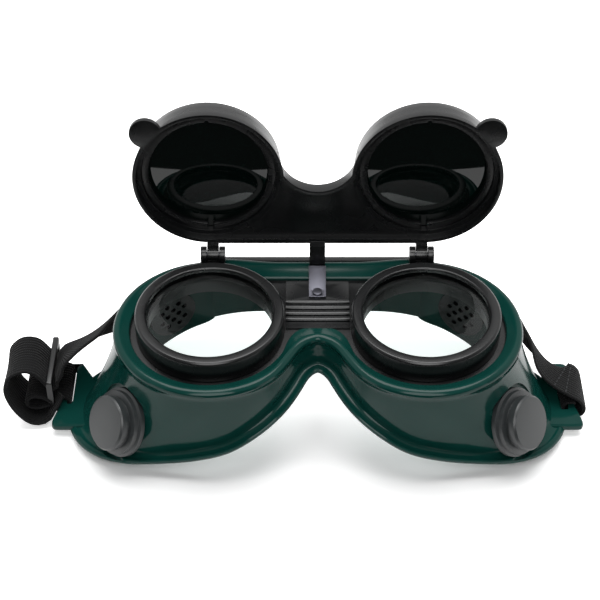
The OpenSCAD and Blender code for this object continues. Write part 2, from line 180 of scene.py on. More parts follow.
@dataclass(frozen=True)
class Lens:
    """A polished lens, clear or dark."""

    name: str
    colour: str
    clear: bool
    rough: float = 0.01

    def build(self) -> bpy.types.Material:
        """Makes the material.

        Returns:
            The named glass material.
        """
        mat = bpy.data.materials.new(self.name)
        mat.use_nodes = True
        tree = mat.node_tree
        tree.nodes.clear()
        place = add_node(tree, "ShaderNodeTexCoord")
        haze = add_node(tree, "ShaderNodeTexNoise", {"in:Scale": 60.0, "in:Detail": 4.0},
                        {"Vector": place.outputs["Object"]})
        rough = add_node(tree, "ShaderNodeMapRange",
                         {"in:To Min": self.rough * 0.5, "in:To Max": self.rough * 1.5},
                         {"Value": haze.outputs["Fac"]})
        shader = add_node(tree, "ShaderNodeBsdfPrincipled",
                          {"in:Base Color": linear(self.colour), "in:IOR": 1.5,
                           "in:Transmission Weight": 0.0},
                          {"Roughness": rough.outputs["Result"]})
        top = shader.outputs["BSDF"]
        if self.clear:
            # thin clear plate: light passes straight on and only the faces reflect
            edge = add_node(tree, "ShaderNodeFresnel", {"in:IOR": 1.45})
            side = add_node(tree, "ShaderNodeNewGeometry")
            front = add_node(tree, "ShaderNodeMath", {"operation": "SUBTRACT", "in:0": 1.0},
                             {1: side.outputs["Backfacing"]})
            glare = add_node(tree, "ShaderNodeMath", {"operation": "MULTIPLY"},
                             {0: edge.outputs["Fac"], 1: front.outputs[0]})
            through = add_node(tree, "ShaderNodeBsdfTransparent",
                               {"in:Color": linear(self.colour)})
            gloss = add_node(tree, "ShaderNodeBsdfGlossy", {"in:Roughness": 0.02})
            mix = add_node(tree, "ShaderNodeMixShader", {},
                           {0: glare.outputs[0], 1: through.outputs["BSDF"],
                            2: gloss.outputs["BSDF"]})
            top = mix.outputs["Shader"]
        add_node(tree, "ShaderNodeOutputMaterial", {}, {"Surface": top})
        return mat


@dataclass(frozen=True)
class Webbing:
    """Knitted elastic: lengthwise ribs with a fine cross weave, measured along its own UV in mm."""

    name: str
    colour: str
    light: str
    rib_mm: float = 1.25
    pick_mm: float = 0.7
    rough: float = 0.72

    def build(self) -> bpy.types.Material:
        """Makes the material.

        Returns:
            The named fabric material.
        """
        mat = bpy.data.materials.new(self.name)
        mat.use_nodes = True
        tree = mat.node_tree
        tree.nodes.clear()
        uv = add_node(tree, "ShaderNodeUVMap", {"uv_map": "cloth"})
        parts = add_node(tree, "ShaderNodeSeparateXYZ", {}, {0: uv.outputs["UV"]})
        across = add_node(tree, "ShaderNodeMath",
                          {"operation": "MULTIPLY", "in:1": 2 * math.pi / self.rib_mm},
                          {0: parts.outputs["X"]})
        along = add_node(tree, "ShaderNodeMath",
                         {"operation": "MULTIPLY", "in:1": 2 * math.pi / self.pick_mm},
                         {0: parts.outputs["Y"]})
        s1 = add_node(tree, "ShaderNodeMath", {"operation": "SINE"}, {0: across.outputs[0]})
        s2 = add_node(tree, "ShaderNodeMath", {"operation": "SINE"}, {0: along.outputs[0]})
        weave = add_node(tree, "ShaderNodeMath", {"operation": "MULTIPLY"},
                         {0: s1.outputs[0], 1: s2.outputs[0]})
        height = add_node(tree, "ShaderNodeMath",
                          {"operation": "MULTIPLY_ADD", "in:1": 0.7},
                          {0: s1.outputs[0], 2: weave.outputs[0]})
        place = add_node(tree, "ShaderNodeTexCoord")
        fuzz = add_node(tree, "ShaderNodeTexNoise", {"in:Scale": 2500.0, "in:Detail": 2.0},
                        {"Vector": place.outputs["Object"]})
        # painted shade and highlight: the colour runs from the dark tone in the grooves to the
        # lighter tone on the rib crests
        share = add_node(tree, "ShaderNodeMapRange",
                         {"in:From Min": -1.5, "in:From Max": 1.7}, {"Value": height.outputs[0]})
        tone = add_node(tree, "ShaderNodeMix",
                        {"data_type": "RGBA", "in:6": linear(self.colour),
                         "in:7": linear(self.light)}, {0: share.outputs["Result"]})
        rise = add_node(tree, "ShaderNodeMath", {"operation": "ADD"},
                        {0: height.outputs[0], 1: fuzz.outputs["Fac"]})
        bump = add_node(tree, "ShaderNodeBump", {"in:Distance": 0.12 * MM, "in:Strength": 0.8},
                        {"Height": rise.outputs[0]})
        shader = add_node(tree, "ShaderNodeBsdfPrincipled",
                          {"in:Roughness": self.rough, "in:Specular IOR Level": 0.2,
                           "in:Sheen Weight": 0.05, "in:Sheen Roughness": 0.4},
                          {"Base Color": tone.outputs[2], "Normal": bump.outputs["Normal"]})
        add_node(tree, "ShaderNodeOutputMaterial", {}, {"Surface": shader.outputs["BSDF"]})
        return mat


class Palette:
    """Every material of the goggles."""

    def __init__(self) -> None:
        """Builds the materials once, so that pieces share them."""
        # soft PVC, injection moulded: deep green with a clean gloss and a faint orange peel
        self.soft_body = Finish("moulded_pvc_green", "#052E29", 0.13, 0.02, specular=0.2,
                                grain_mm=2.5, relief_mm=0.01, tint=0.1).build()
        # ABS from a polished mould: near black, satin, with a fine spark-eroded grain
        self.black_plastic = Finish("moulded_abs_black", "#08090A", 0.27, 0.04,
                                    grain_mm=0.35, relief_mm=0.006).build()
        # the same ABS from a duller mould, its base colour lifted to grey: painted reflection of
        # the grey haze the flat caps catch, on top of their real satin gloss
        self.cap = Finish("moulded_abs_black_painted_haze", "#242728", 0.38, 0.04, specular=0.6,
                          grain_mm=0.35, relief_mm=0.006).build()
        # nitrile rubber sheet, punched: matt black, nearly without gloss
        self.gasket = Finish("seal_rubber_black", "#0D0D0E", 0.7).build()
        # spring steel strip, brushed: dark metal with a soft streaky glint
        self.steel = Finish("spring_steel_brushed", "#62626A", 0.32, 0.05, metallic=1.0,
                            grain_mm=0.3, relief_mm=0.008).build()
        # float glass cover plate: almost invisible but for the gloss at flat angles
        self.clear_lens = Lens("clear_lens_glass", "#F4F8F7", True).build()
        # welding shade glass: so dark a green that only its polish shows
        self.shade_lens = Lens("shade_lens_glass", "#030A08", False, 0.03).build()
        # knitted rubber and polyester webbing: soft black with matt ribs, with painted shade in the
        # grooves and a painted highlight on the rib crests
        self.strap = Webbing("elastic_webbing_black", "#020203", "#0B0C0D").build()
        # spun polyester thread: dark grey, a shade lighter than the webbing
        self.thread = Finish("sewing_thread_black", "#202124", 0.75, grain_mm=0.2,
                             relief_mm=0.05).build()


def mesh_object(name: str, verts: np.ndarray, faces: list, mat: bpy.types.Material,
                smooth: bool = True) -> bpy.types.Object:
    """Makes a mesh object at the origin.

    Args:
        name: The piece's name.
        verts: Points in metres, one row each.
        faces: Lists of point numbers.
        mat: Its material.
        smooth: Whether its faces shade smoothly.

    Returns:
        The linked object.
    """
    mesh = bpy.data.meshes.new(name)
    mesh.from_pydata([tuple(map(float, v)) for v in verts], [], faces)
    mesh.polygons.foreach_set("use_smooth", [smooth] * len(mesh.polygons))
    mesh.materials.append(mat)
    mesh.update()
    piece = bpy.data.objects.new(name, mesh)
    bpy.context.scene.collection.objects.link(piece)
    return piece


def face_outward(piece: bpy.types.Object) -> None:
    """Turns every face of a closed piece outward.

    Args:
        piece: Mesh object to mend.
    """
    bm = bmesh.new()
    bm.from_mesh(piece.data)
    bmesh.ops.recalc_face_normals(bm, faces=bm.faces)
    bm.to_mesh(piece.data)
    bm.free()


def bake(piece: bpy.types.Object) -> None:
    """Turns the piece's modifiers into mesh.

    Args:
        piece: Mesh object whose modifiers are done with.
    """
    graph = bpy.context.evaluated_depsgraph_get()
    graph.update()
    done = bpy.data.meshes.new_from_object(piece.evaluated_get(graph))
    piece.modifiers.clear()
    old = piece.data
    piece.data = done
    bpy.data.meshes.remove(old)


def spin(profile: list, steps: int = 144) -> tuple[np.ndarray, list]:
    """Turns a closed profile about Z.

    Args:
        profile: Radius and height pairs in mm, in order round the section.
        steps: How many stations round the axis.

    Returns:
        Points in mm and faces.
    """
    n = len(profile)
    pts, faces = [], []
    for i in range(steps):
        a = 2 * math.pi * i / steps
        pts += [(r * math.cos(a), r * math.sin(a), z) for r, z in profile]
    for i in range(steps):
        j = (i + 1) % steps
        for k in range(n):
            m = (k + 1) % n
            faces.append([i * n + k, j * n + k, j * n + m, i * n + m])
    return np.array(pts), faces


def curve_through(points: list, per_span: int = 10) -> np.ndarray:
    """Smooth line through control points.

    Args:
        points: Rows of any width.
        per_span: How many stations per span.

    Returns:
        Stations along the Catmull-Rom curve, ends included.
    """
    p = np.array(points, float)
    out = []
    last = len(p) - 1
    for i in range(last):
        a, b, c, d = p[max(i - 1, 0)], p[i], p[i + 1], p[min(i + 2, last)]
        for k in range(per_span):
            f = k / per_span
            out.append(0.5 * (2 * b + (c - a) * f + (2 * a - 5 * b + 4 * c - d) * f * f
                              + (3 * b - a - 3 * c + d) * f ** 3))
    out.append(p[-1])
    return np.array(out)


def even(points: np.ndarray, step: float) -> np.ndarray:
    """Spaces the stations of a line evenly along its first three columns.

    Args:
        points: Rows of x, y, z and more.
        step: Wanted spacing.

    Returns:
        The new rows.
    """
    d = np.r_[0, np.cumsum(np.linalg.norm(np.diff(points[:, :3], axis=0), axis=1))]
    n = max(2, int(round(d[-1] / step)) + 1)
    s = np.linspace(0, d[-1], n)
    return np.stack([np.interp(s, d, points[:, k]) for k in range(points.shape[1])], 1)


@dataclass
class Outline:
    """Plan outline of the shell at any height: two flaring eye lobes joined by a middle bar."""

    lens_x: float = 40.4
    lip_z: float = 43.0
    lobe_r: float = 36.8
    wing: tuple = (72.0, -9.5, 22.5)
    nose_y: float = -8.0
    brow_y: float = 36.3
    melt: float = 8.0
    # depth, x, y and width of the hollow beside the nose
    nose_trim: tuple = (1.4, 11.0, -17.0, 7.0)
    centre_y: float = 15.0
    lobe_y: float = -0.5
    flare_power: float = 1.9
    discs_between: int = 12

    def distance(self, p: np.ndarray, t: np.ndarray) -> np.ndarray:
        """Signed distance to the outline.

        Args:
            p: Points, x and y last.
            t: Share of the way down from the lip to the floor.

        Returns:
            Distance in mm, negative inside.
        """
        x = np.sqrt(p[..., 0] ** 2 + 1e-6)
        y = p[..., 1]
        flare = t ** self.flare_power
        # x, y and radius of three discs that part from one on the way down: cheek, brow, temple
        discs = [
            (self.lens_x, self.lobe_y - 1.5 * t, self.lobe_r - 3.8 * t),
            (self.lens_x, self.lobe_y + 5.5 * t, self.lobe_r - 2.8 * t),
            (self.lens_x + (self.wing[0] - self.lens_x) * flare,
             self.lobe_y + (self.wing[1] - self.lobe_y) * flare,
             self.lobe_r + (self.wing[2] - self.lobe_r) * flare)]
        near = np.full(x.shape, 1e9)
        for a, b in ((0, 1), (0, 2), (1, 2)):
            for k in range(self.discs_between + 1):
                f = k / self.discs_between
                c = [discs[a][m] * (1 - f) + discs[b][m] * f for m in range(3)]
                near = np.minimum(near, np.hypot(x - c[0], y - c[1]) - c[2])
        low = self.nose_y + 2 * t
        high = self.brow_y + 2.7 * t
        bar = np.maximum(np.maximum(x - self.lens_x, y - high), low - y)
        h = np.clip(0.5 + 0.5 * (near - bar) / self.melt, 0, 1)
        depth, cx, cy, wide = self.nose_trim
        trim = depth * np.exp(-((x - cx) ** 2 + (y - cy) ** 2) / (2 * wide * wide))
        return near * (1 - h) + bar * h - self.melt * h * (1 - h) + trim * (1 - t)

    def reach(self, angle: np.ndarray, t: np.ndarray) -> np.ndarray:
        """Outline points seen from the middle.

        Args:
            angle: Directions.
            t: Share of the way down.

        Returns:
            Points x, y.
        """
        ray = np.stack([np.cos(angle), np.sin(angle)], -1)
        nearest, furthest, halvings = 5.0, 140.0, 34
        lo, hi = np.full(angle.shape, nearest), np.full(angle.shape, furthest)
        for _ in range(halvings):
            mid = (lo + hi) / 2
            p = ray * mid[..., None] + np.array([0, self.centre_y])
            inside = self.distance(p, t) < 0
            lo, hi = np.where(inside, mid, lo), np.where(inside, hi, mid)
        return ray * lo[..., None] + np.array([0, self.centre_y])

    def stations(self, count: int) -> np.ndarray:
        """Directions spaced evenly along the outline a third of the way down.

        Args:
            count: How many.

        Returns:
            Angles.
        """
        a = np.linspace(-math.pi, math.pi, 4001)
        third_down = 0.3
        p = self.reach(a, np.full(a.shape, third_down))
        d = np.r_[0, np.cumsum(np.hypot(*np.diff(p, axis=0).T))]
        s = np.linspace(0, d[-1], count + 1)[:-1]
        return np.interp(s, d, a)

    def normal(self, p: np.ndarray, t: np.ndarray) -> np.ndarray:
        """Outward direction in plan.

        Args:
            p: Points on the outline.
            t: Share of the way down.

        Returns:
            Unit vectors.
        """
        e = 0.4
        gx = self.distance(p + [e, 0], t) - self.distance(p - [e, 0], t)
        gy = self.distance(p + [0, e], t) - self.distance(p - [0, e], t)
        g = np.stack([gx, gy], -1)
        return g / np.linalg.norm(g, axis=-1)[..., None]


@dataclass(frozen=True)
class VentSeat:
    """Round seat of a vent cap in the wall, given for the right side in mm."""

    label: str
    place: tuple
    axis: tuple
    wide: float
    deep: float
    bore: float = 8.5
    clear_bore: float = 10.0


@dataclass(frozen=True)
class Lug:
    """Strap lug: a rounded plate with a slot, given for the right side in mm."""

    middle: tuple = (91.4, 0.2)
    half: tuple = (8.6, 17.2)
    corner: float = 9.0
    slot_corner: float = 12.0
    slot_length: float = 10.4
    flare_from: float = 6.0
    flare: float = 0.28
    back_slope: float = 0.61
    points: int = 96
    # growth of the outline and height, up the outside of the plate
    edge: tuple = ((-0.7, 2.6), (-0.1, 3.1), (0, 4.1), (-0.1, 5.1), (-0.7, 5.6))
    # growth of the slot and height, down through the plate
    slot_edge: tuple = ((0.3, 5.6), (0, 5.2), (0, 3.0), (0.3, 2.6))

    def box(self, half: tuple, power: float) -> np.ndarray:
        """Rectangle with rounded corners about the plate's middle.

        Args:
            half: Half length and half width.
            power: How square the corners are.

        Returns:
            Points x, y.
        """
        a = np.linspace(0, 2 * math.pi, self.points, endpoint=False)
        c, s = np.cos(a), np.sin(a)
        r = (np.abs(c / half[0]) ** power + np.abs(s / half[1]) ** power) ** (-1 / power)
        return np.stack([r * c, r * s], 1)

    def rings(self, side: Side) -> list:
        """Section rings from the outer edge round to the slot.

        Args:
            side: Which temple; the left slot is narrow, for the link alone.

        Returns:
            Rings of x, y, z in place.
        """
        left = side is Side.LEFT
        outer = self.box(self.half, self.corner)
        slot = self.box((1.15 if left else 1.6, self.slot_length), self.slot_corner)
        a = np.linspace(0, 2 * math.pi, self.points, endpoint=False)
        away = np.stack([np.sign(np.cos(a)) * 0.5, np.sin(a)], 1)
        # the front corner flares outward and the back edge slopes in to the wall
        flare = np.clip(-outer[:, 1] - self.flare_from, 0, 20) * self.flare * (np.cos(a) > 0)
        back = self.back_slope * np.clip(outer[:, 1], 0, 20) - self.half[0]
        outer[:, 0] = np.maximum(outer[:, 0] + flare, back)
        slot = slot + ([4.95, 5.2] if left else [4.3, 2.2])
        rings = [np.c_[outer * (1 + grow / 12), np.full(self.points, z)] for grow, z in self.edge]
        rings += [np.c_[slot + grow * away, np.full(self.points, z)] for grow, z in self.slot_edge]
        shift, turn = np.array([*self.middle, 0]), np.array([side.value, 1, 1])
        return [(ring + shift) * turn for ring in rings]


@dataclass
class Mask:
    """Soft green shell: rolled bezel, flaring wall, turned-out face rim, vent seats and lugs."""

    palette: Palette
    plan: Outline = field(default_factory=Outline)
    lug: Lug = field(default_factory=Lug)
    count: int = 480
    wall: float = 2.3
    open_r: float = 30.3
    window: tuple = (-0.5, 27.5)
    lip_under: float = 40.5
    wall_top: float = 38.2
    # y where the cheek's rim starts to give way to the brow's, and over what length
    brow_from: float = -4.0
    brow_span: float = 26.0
    rim_ease: int = 15
    # x and height of the face rim from the nose, and from the brow, to the temples
    front_rim: tuple = ((0, 28.5), (6.8, 27), (15.3, 23.5), (22.5, 19.6), (33.4, 13.6),
                        (47.8, 8.8), (62, 5.8), (76.7, 2.8), (87.5, 0.9), (92.5, 0.0))
    brow_rim: tuple = ((0, 17), (17.7, 16), (25.5, 15), (33, 13), (44, 9.3), (57, 5.4),
                       (75, 1.6), (88, 0.0))
    # share of the way from the opening to the crest, and height
    bezel: tuple = ((0.08, 42.0), (0.3, 42.35), (0.6, 42.9), (0.85, 43.5))
    # distance out from the wall and height, over the crest and down to the wall
    crest: tuple = ((-2.8, 43.75), (-2.0, 43.75), (-1.2, 43.4), (-0.55, 42.75),
                    (-0.3, 41.9), (-0.5, 40.9), (-0.8, 39.9), (-0.85, 38.9))
    # height over the foot and distance out: the hollow, then the rolled edge and its underside
    roll: tuple = ((3.7, 0.1), (3.1, 0.4), (2.7, 0.95), (2.5, 1.7), (2.5, 2.5), (2.75, 3.15),
                   (2.85, 3.6), (2.55, 4.05), (1.9, 4.25), (1.1, 4.1), (0.45, 3.6), (0.1, 2.8),
                   (0.0, 1.6))
    # height over the foot and distance out, round to the inside of the wall
    tuck: tuple = ((0.0, 0.0), (0.0, -1.4), (0.2, -2.0))
    seats: tuple = (
        VentSeat("lower", (72.8, -26.2, 17.8), (0.72, -0.51, 0.467), 14.6, -3.4),
        VentSeat("upper", (59.5, 31.6, 22.0), (0.5446, 0.8387, 0.0), 12.2, -2.8))

    def rim(self, p: np.ndarray) -> np.ndarray:
        """Height of the face rim under points of the outline.

        Args:
            p: Plan points.

        Returns:
            Heights in mm.
        """
        x = np.abs(p[:, 0])
        front = np.interp(x, *np.array(self.front_rim, float).T)
        brow = np.interp(x, *np.array(self.brow_rim, float).T)
        side = np.clip((p[:, 1] - self.brow_from) / self.brow_span, 0, 1)
        z = front * (1 - side) + brow * side
        kernel = np.hanning(self.rim_ease)
        kernel /= kernel.sum()
        half = self.rim_ease // 2
        return np.convolve(np.r_[z[-half:], z, z[:half]], kernel, "valid")

    def inner_edge(self, p: np.ndarray) -> np.ndarray:
        """Edge of the front opening that faces each outline point.

        Args:
            p: Plan points on the lip's outline.

        Returns:
            Plan points round both lens openings and the bridge window.
        """
        sign = np.where(p[:, 0] < 0, -1.0, 1.0)
        c = np.stack([sign * self.plan.lens_x, 0 * sign], 1)
        d = p - c
        ring = c + self.open_r * d / np.linalg.norm(d, axis=1)[:, None]
        x = np.abs(p[:, 0])
        front = p[:, 1] < 10
        # the bridge window hands over to the round openings: at once in front, slowly at the brow
        ease = np.where(front, (x - 3.5) / 5.0, (x - 21) / 11.0)
        ease = np.clip(ease, 0, 1)
        ease = (ease * ease * (3 - 2 * ease))[:, None]
        mid = np.stack([np.where(front, p[:, 0] * 1.5, p[:, 0]),
                        np.where(front, self.window[0], self.window[1])], 1)
        return mid * (1 - ease) + ring * ease

    def at(self, angle: np.ndarray, z: np.ndarray, off: float) -> np.ndarray:
        """Points at a height, moved out from the wall.

        Args:
            angle: Station directions.
            z: Heights in mm.
            off: Distance outward in mm.

        Returns:
            Rows of x, y, z.
        """
        t = np.clip((self.plan.lip_z - z) / self.plan.lip_z, 0, 1)
        p = self.plan.reach(angle, t)
        p = p + off * self.plan.normal(p, t)
        return np.c_[p, z]

    def loft(self) -> tuple[list, list]:
        """Section points of the shell, station by station.

        Returns:
            Rings of points for the shell and for its outer solid.
        """
        a = self.plan.stations(self.count)
        one = np.ones(len(a))
        lip = self.plan.reach(a, 0 * one)
        foot = self.rim(self.plan.reach(a, 0.5 * one))
        opening = self.inner_edge(lip)
        crest_line = self.at(a, 43.7 * one, self.crest[0][0])[:, :2]
        rings = [np.c_[opening, 40.55 * one], np.c_[opening, 41.5 * one]]
        for share, z in self.bezel:
            rings.append(np.c_[opening * (1 - share) + crest_line * share, z * one])
        outer = [self.at(a, z * one, off) for off, z in self.crest]
        wall_rows = 16
        for share in np.arange(wall_rows) / (wall_rows - 1):
            z = self.wall_top + (foot + 4.6 - self.wall_top) * share
            outer.append(self.at(a, z, -0.8 * (1 - share) ** 2))
        outer += [self.at(a, foot + up, off) for up, off in self.roll]
        rings += outer
        rings += [self.at(a, foot + up, off) for up, off in (*self.tuck, (0.7, -self.wall))]
        inner_rows = 9
        for share in np.arange(inner_rows) / (inner_rows - 1):
            rings.append(self.at(a, foot + 2 + (37.5 - foot - 2) * share, -self.wall))
        inside = self.at(a, self.lip_under * one, -self.wall - 0.5)
        rings += [self.at(a, 39.5 * one, -self.wall - 0.2), inside,
                  np.c_[(inside[:, :2] + opening) / 2, self.lip_under * one]]
        return rings, outer

    def skin(self, name: str, rings: list, closed: bool) -> bpy.types.Object:
        """Skins rings of points.

        Args:
            name: The piece's name.
            rings: Equal rings.
            closed: Whether the last ring joins the first; otherwise both ends are capped.

        Returns:
            The closed mesh.
        """
        n, m = len(rings[0]), len(rings)
        pts = np.concatenate(rings)
        faces = []
        for r in range(m if closed else m - 1):
            s = (r + 1) % m
            for i in range(n):
                j = (i + 1) % n
                faces.append([r * n + i, r * n + j, s * n + j, s * n + i])
        if not closed:
            faces.append(list(range(n)))
            faces.append([(m - 1) * n + i for i in range(n)][::-1])
        piece = mesh_object(name, pts * MM, faces, self.palette.soft_body)
        face_outward(piece)
        return piece

    def place(self, piece: bpy.types.Object, seat: tuple, axis: tuple) -> None:
        """Moves a piece made about Z onto a seat.

        Args:
            piece: The piece.
            seat: Point in mm.
            axis: Direction of its Z.
        """
        turn = Vector(axis).normalized().to_track_quat("Z", "Y").to_matrix().to_4x4()
        piece.data.transform(Matrix.Translation(Vector(seat) * MM) @ turn)

    def combine(self, piece: bpy.types.Object, tool: bpy.types.Object, how: str) -> None:
        """Runs one exact boolean and drops the tool.

        Args:
            piece: Piece that is changed.
            tool: The other solid.
            how: DIFFERENCE, INTERSECT or UNION.
        """
        cut = piece.modifiers.new("cut", "BOOLEAN")
        cut.operation = how
        cut.solver = "EXACT"
        cut.object = tool
        bake(piece)
        bpy.data.objects.remove(tool)

    def vent_seat(self, seat: VentSeat, side: Side, outer: list,
                  shell: bpy.types.Object) -> bpy.types.Object:
        """Makes one seat and clears the shell for it.

        Args:
            seat: Which seat.
            side: Which temple.
            outer: Rings of the shell's outer solid, which trims the seat.
            shell: The shell that is cut.

        Returns:
            The seat, flush with the wall outside.
        """
        place = (side.value * seat.place[0], *seat.place[1:])
        axis = (side.value * seat.axis[0], *seat.axis[1:])
        flare, tall = 1.6, 13
        tube = [(seat.bore, seat.deep), (seat.wide + flare, seat.deep),
                (seat.wide + flare, tall), (seat.wide, tall), (seat.wide, 0), (seat.bore, 0)]
        pts, faces = spin(tube, 96)
        piece = mesh_object(f"vent_seat_{seat.label}_{side.word}", pts * MM, faces,
                            self.palette.soft_body)
        self.place(piece, place, axis)
        face_outward(piece)
        self.combine(piece, self.skin("solid", outer, False), "INTERSECT")
        # the cutter stays a hair inside the seat, and narrow where it runs on into the cavity
        low = seat.deep + 0.15
        hole = [(0.01, -15), (seat.clear_bore, -15), (seat.clear_bore, low),
                (seat.wide + 1.5, low), (seat.wide + 1.5, 16), (0.01, 16)]
        pts, faces = spin(hole, 96)
        cutter = mesh_object("cutter", pts * MM, faces, self.palette.soft_body)
        self.place(cutter, place, axis)
        face_outward(cutter)
        self.combine(shell, cutter, "DIFFERENCE")
        return piece

    def build(self, frame: dict) -> None:
        """Makes the shell with its vent seats and lugs.
        """
        rings, outer = self.loft()
        shell = self.skin("mask_shell", rings, True)
        pieces = [shell]
        for side in Side:
            pieces += [self.vent_seat(seat, side, outer, shell) for seat in self.seats]
            pieces.append(self.skin("strap_lug_" + side.word, self.lug.rings(side), True))
        shade = Hardware(self.palette).shade_by_angle()
        for piece in pieces:
            smooth = piece.modifiers.new("shade", "NODES")
            smooth.node_group = shade
            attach(piece, "mask")
            log.info("%s: %d faces", piece.name, len(piece.data.polygons))
        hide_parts("mask_body")


@dataclass
class Hardware:
    """Rigid CAD pieces: they keep their meshes and gain softened edges and a finish."""

    palette: Palette
    edge: float = 0.3
    cup_edge: float = 0.4
    metal_edge: float = 0.08
    smooth_deg: float = 28.0

    def shade_by_angle(self) -> bpy.types.NodeTree:
        """Node group that shades smoothly up to a set angle.

        Returns:
            The geometry node group.
        """
        tree = bpy.data.node_groups.get("shade_by_angle")
        if tree:
            return tree
        tree = bpy.data.node_groups.new("shade_by_angle", "GeometryNodeTree")
        tree.interface.new_socket("Geometry", in_out="INPUT", socket_type="NodeSocketGeometry")
        angle = tree.interface.new_socket("Angle", in_out="INPUT", socket_type="NodeSocketFloat")
        angle.default_value = math.radians(self.smooth_deg)
        tree.interface.new_socket("Geometry", in_out="OUTPUT", socket_type="NodeSocketGeometry")
        start = add_node(tree, "NodeGroupInput")
        fold = add_node(tree, "GeometryNodeInputMeshEdgeAngle")
        sharp = add_node(tree, "FunctionNodeCompare", {"operation": "LESS_EQUAL"},
                         {0: fold.outputs["Unsigned Angle"], 1: start.outputs["Angle"]})
        faces = add_node(tree, "GeometryNodeSetShadeSmooth", {"domain": "FACE"},
                         {"Geometry": start.outputs["Geometry"]})
        edges = add_node(tree, "GeometryNodeSetShadeSmooth", {"domain": "EDGE"},
                         {"Geometry": faces.outputs["Geometry"],
                          "Shade Smooth": sharp.outputs["Result"]})
        add_node(tree, "NodeGroupOutput", {}, {"Geometry": edges.outputs["Geometry"]})
        return tree

    def finish(self, node: bpy.types.Object, mat: bpy.types.Material, edge: float) -> None:
        """Gives one CAD piece its edges and its material.

        Args:
            node: The piece.
            mat: Its material.
            edge: Width of the softened edge in mm, or 0.
        """
        node.data.materials.clear()
        node.data.materials.append(mat)
        if edge > 0:
            weld = node.modifiers.new("weld", "WELD")
            weld.merge_threshold = 0.000002
            soft = node.modifiers.new("soft_edge", "BEVEL")
            soft.width = edge * MM
            soft.segments = 3
            soft.limit_method = "ANGLE"
            soft.angle_limit = math.radians(30)
            soft.use_clamp_overlap = True
        shade = node.modifiers.new("shade", "NODES")
        shade.node_group = self.shade_by_angle()
        log.info("%s: %s, edge %.2f mm", node.name, mat.name, edge)

    def build(self, frame: dict) -> None:
        """Finishes every rigid CAD piece that stays shown.
        """
        p = self.palette
        finishes = (
            ("clear_lens", p.clear_lens, self.edge), ("shade_lens", p.shade_lens, self.edge),
            ("lens_gasket", p.gasket, 0.0), ("vent_cap", p.cap, self.edge),
            ("vent_screen", p.black_plastic, 0.0), ("hinge_pin", p.steel, self.metal_edge),
            ("detent_spring", p.steel, self.metal_edge),
            ("spring_rivet", p.steel, self.metal_edge),
            ("lift_frame", p.black_plastic, self.cup_edge),
            ("lens_ring", p.black_plastic, self.edge),
            ("shade_clip", p.black_plastic, self.edge),
            ("front_frame", p.black_plastic, self.edge))
        for name, node in sorted(frame["nodes"].items()):
            for start, mat, edge in finishes:
                if name.startswith(start):
                    self.finish(node, mat, edge)


